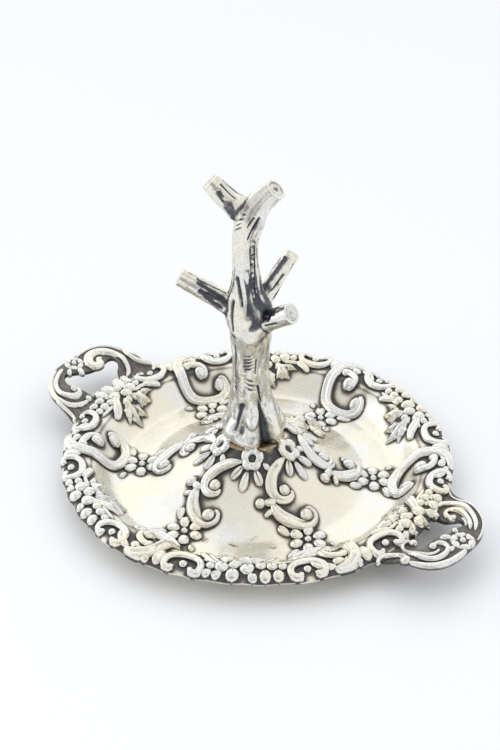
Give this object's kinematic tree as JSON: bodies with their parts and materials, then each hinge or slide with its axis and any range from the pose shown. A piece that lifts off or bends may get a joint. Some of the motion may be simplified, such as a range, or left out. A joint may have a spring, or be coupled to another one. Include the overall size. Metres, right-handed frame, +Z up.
{
  "type": "ring tree",
  "caption": "Round silver dish on a flat annular foot, with a pierced handle each side and a cast branching trunk on a raised boss for hanging rings.",
  "frame": {"origin": "centre of the part's box in plan, on the surface that the dish rests on", "axes": "+X along the line of the two handles, towards the handle nearer the camera; +Z up along the trunk"},
  "size_m": [0.119, 0.0918, 0.0764],
  "materials": {
    "silver": "antique silver, polished high points with dark tarnish left in the recesses",
    "solder": "dull brownish silver solder, stained",
    "steel": "plain turned steel, slightly dull"
  },
  "bodies": {
    "root": {"dish": "silver", "right_handle": "silver", "left_handle": "silver", "trunk": "silver", "top_left_branch": "silver", "mid_left_branch": "silver", "rear_branch": "silver", "front_stub": "silver", "solder_ring": "solder", "stud": "steel", "washer": "steel", "nut": "steel"}
  },
  "joints": []
}
